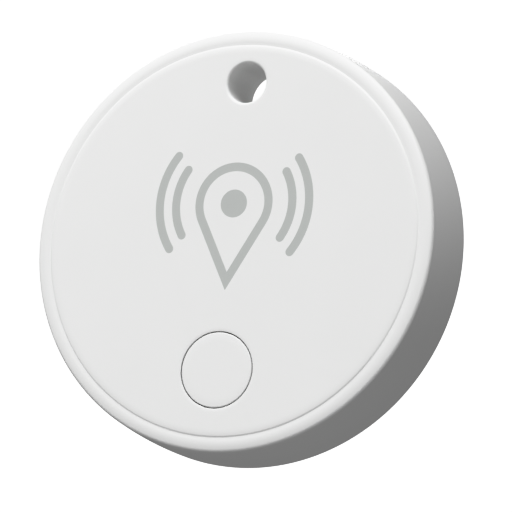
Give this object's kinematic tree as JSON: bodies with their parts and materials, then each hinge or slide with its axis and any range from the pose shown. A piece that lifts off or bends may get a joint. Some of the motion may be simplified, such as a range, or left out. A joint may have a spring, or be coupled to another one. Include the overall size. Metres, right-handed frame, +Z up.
{
  "type": "bluetooth tracker tag",
  "caption": "Round white tracker tag with a keyring hole, a press button and a coin-turned battery door over a coin cell.",
  "frame": {"origin": "centre of the disc, half way between its face and its back", "axes": "+Z up through the keyring hole, +Y out of the back along the keyring hole, the face looks along -Y"},
  "size_m": [0.0404, 0.0076, 0.0404],
  "materials": {
    "white_shell": "satin moulded ABS with a very fine texture",
    "white_back": "satin moulded ABS",
    "white_button": "satin moulded ABS",
    "grey_ink": "matt grey pad print",
    "frame_plastic": "moulded grey ABS",
    "switch_plastic": "black glass-filled polymer",
    "actuator_plastic": "ivory polymer",
    "chip_black": "black moulded epoxy",
    "board_green": "green solder mask over glass epoxy",
    "ceramic_white": "sintered ceramic",
    "ceramic_tan": "sintered ceramic with tinned ends",
    "ferrite": "grey ferrite",
    "brass": "rolled brass",
    "spring_gold": "gold-plated spring metal",
    "steel": "nickel-plated steel",
    "seal_rubber": "grey silicone",
    "black_rubber": "black rubber",
    "foam": "closed-cell foam",
    "adhesive": "transfer adhesive",
    "cell_mix": "pressed powder and lithium"
  },
  "bodies": {
    "case": {"front_shell": "white_shell", "face_mark": "grey_ink", "rear_cover": "white_back", "cover_gasket": "seal_rubber", "switch_base": "switch_plastic", "switch_dome": "steel", "switch_cover": "steel", "circuit_board": "board_green", "bluetooth_chip": "chip_black", "crystals": "steel", "chip_antenna": "ceramic_white", "passives": "ceramic_tan", "buzzer_coil": "ferrite", "buzzer_adhesive": "adhesive", "buzzer_plate": "brass", "buzzer_ceramic": "ceramic_white", "buzzer_contacts": "spring_gold", "battery_frame": "frame_plastic", "frame_screws": "steel", "positive_contacts": "spring_gold", "negative_contact": "spring_gold"},
    "button": {"button_cap": "white_button", "button_pad": "seal_rubber"},
    "actuator": {"switch_plunger": "actuator_plastic"},
    "seal": {"door_seal": "black_rubber"},
    "door": {"battery_door": "white_back", "door_pad": "foam"},
    "battery": {"cell_can": "steel", "cell_gasket": "black_rubber", "cell_cap": "steel", "cell_pellet": "cell_mix"}
  },
  "joints": [
    {"name": "button_press", "type": "slide", "parent": "case", "child": "button", "axis": [0, 1, 0], "range_m": [0, 0.00025], "stiffness_N_per_m": 1500},
    {"name": "switch_travel", "type": "slide", "parent": "case", "child": "actuator", "axis": [0, 1, 0], "range_m": [0, 0.00025], "deforming": ["switch_dome"]},
    {"name": "door_lift", "type": "slide", "parent": "case", "child": "seal", "axis": [0, 1, 0], "range_m": [0, 0.0048]},
    {"name": "door_twist", "type": "hinge", "parent": "seal", "child": "door", "pos_m": [0, 0.0038, -0.0022], "axis": [0, 1, 0], "range_deg": [0, 180]},
    {"name": "cell_lift", "type": "slide", "parent": "case", "child": "battery", "axis": [0, 1, 0], "range_m": [0, 0.0024]}
  ],
  "couplings": [
    {"joint": "switch_travel", "follows": "button_press", "ratio": 1},
    {"joint": "door_twist", "follows": "door_lift", "rad_per_m": 654.49},
    {"joint": "cell_lift", "follows": "door_lift", "ratio": 0.5}
  ]
}
